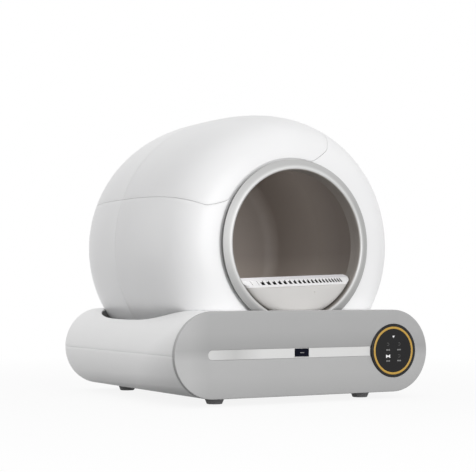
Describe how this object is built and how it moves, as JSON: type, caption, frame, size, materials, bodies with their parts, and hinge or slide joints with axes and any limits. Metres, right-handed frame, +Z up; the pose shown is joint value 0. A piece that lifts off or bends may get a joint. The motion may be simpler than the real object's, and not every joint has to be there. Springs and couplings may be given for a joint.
{
  "type": "self cleaning litter box",
  "caption": "Self-cleaning cat litter box: a white globe housing on a low stadium-shaped base, with a turning drum inside, a round lit control disc and a waste drawer behind the front panel.",
  "frame": {"origin": "on the floor under the middle of the part's outline", "axes": "+X to the right as seen from the door side, +Y from the door to the back, +Z up"},
  "size_m": [0.56, 0.52, 0.567],
  "materials": {
    "white_plastic": "satin white",
    "pale_plastic": "satin pale grey",
    "grey_plastic": "matte grey",
    "silver_ring": "silver lacquer",
    "drum_plastic": "matte dark grey",
    "liner_rubber": "soft dark grey",
    "black_gloss": "gloss black",
    "window_gloss": "gloss black",
    "amber_light": "amber light guide",
    "foot_rubber": "matte dark grey",
    "gear_plastic": "natural",
    "steel": "plain",
    "circuit_board": "green solder mask"
  },
  "bodies": {
    "housing": {"base_lower_shell": "pale_plastic", "base_upper_shell": "pale_plastic", "deck_plate": "pale_plastic", "waste_funnel": "pale_plastic", "foot_front_left": "foot_rubber", "foot_front_right": "foot_rubber", "foot_rear_left": "foot_rubber", "foot_rear_right": "foot_rubber", "globe_front_shell": "white_plastic", "globe_rear_shell": "white_plastic", "entry_ring": "silver_ring", "entry_tunnel": "grey_plastic", "gearbox_case": "grey_plastic", "motor_can": "steel", "motor_bracket": "steel", "roller_bracket_front_left": "gear_plastic", "roller_bracket_front_right": "gear_plastic", "roller_bracket_rear_left": "gear_plastic", "roller_bracket_rear_right": "gear_plastic", "bin_rail_left": "steel", "bin_rail_right": "steel", "sensor_window": "window_gloss", "sensor_board": "circuit_board", "control_pod": "black_gloss", "light_ring": "amber_light", "touch_glass": "window_gloss", "control_board": "circuit_board", "main_board": "circuit_board", "power_inlet": "black_gloss"},
    "drum": {"drum_front_shell": "drum_plastic", "drum_rear_shell": "drum_plastic", "litter_liner": "liner_rubber", "sieve_screen": "white_plastic", "pocket_divider": "white_plastic", "step_guard": "white_plastic", "ring_gear": "gear_plastic"},
    "pinion": {"drive_pinion": "gear_plastic"},
    "roller_a": {"roller_front_left": "foot_rubber"},
    "roller_b": {"roller_front_right": "foot_rubber"},
    "roller_c": {"roller_rear_left": "foot_rubber"},
    "roller_d": {"roller_rear_right": "foot_rubber"},
    "drawer": {"front_panel": "grey_plastic", "strip_trim": "white_plastic", "waste_bin": "grey_plastic"},
    "cover": {"globe_cover_front": "white_plastic", "globe_cover_rear": "white_plastic"}
  },
  "joints": [
    {"name": "drum_spin", "type": "hinge", "parent": "housing", "child": "drum", "pos_m": [0, 0, 0.3005], "axis": [0, 1, 0], "continuous": true},
    {"name": "pinion_spin", "type": "hinge", "parent": "housing", "child": "pinion", "pos_m": [0.08879, 0.191, 0.05656], "axis": [0, 1, 0], "continuous": true},
    {"name": "roller_a_spin", "type": "hinge", "parent": "housing", "child": "roller_a", "pos_m": [-0.14133, -0.07496, 0.113], "axis": [0, 1, 0], "continuous": true},
    {"name": "roller_b_spin", "type": "hinge", "parent": "housing", "child": "roller_b", "pos_m": [0.14133, -0.07496, 0.113], "axis": [0, 1, 0], "continuous": true},
    {"name": "roller_c_spin", "type": "hinge", "parent": "housing", "child": "roller_c", "pos_m": [-0.14133, 0.132, 0.113], "axis": [0, 1, 0], "continuous": true},
    {"name": "roller_d_spin", "type": "hinge", "parent": "housing", "child": "roller_d", "pos_m": [0.14133, 0.132, 0.113], "axis": [0, 1, 0], "continuous": true},
    {"name": "drawer_slide", "type": "slide", "parent": "housing", "child": "drawer", "axis": [0, -1, 0], "range_m": [0, 0.36]},
    {"name": "cover_lift", "type": "slide", "parent": "housing", "child": "cover", "axis": [-0.3987, 0, 0.9171], "range_m": [0, 0.14]}
  ],
  "couplings": [
    {"joint": "pinion_spin", "follows": "drum_spin", "ratio": -8},
    {"joint": "roller_a_spin", "follows": "drum_spin", "ratio": -17.76},
    {"joint": "roller_b_spin", "follows": "drum_spin", "ratio": -17.76},
    {"joint": "roller_c_spin", "follows": "drum_spin", "ratio": -17.76},
    {"joint": "roller_d_spin", "follows": "drum_spin", "ratio": -17.76}
  ]
}
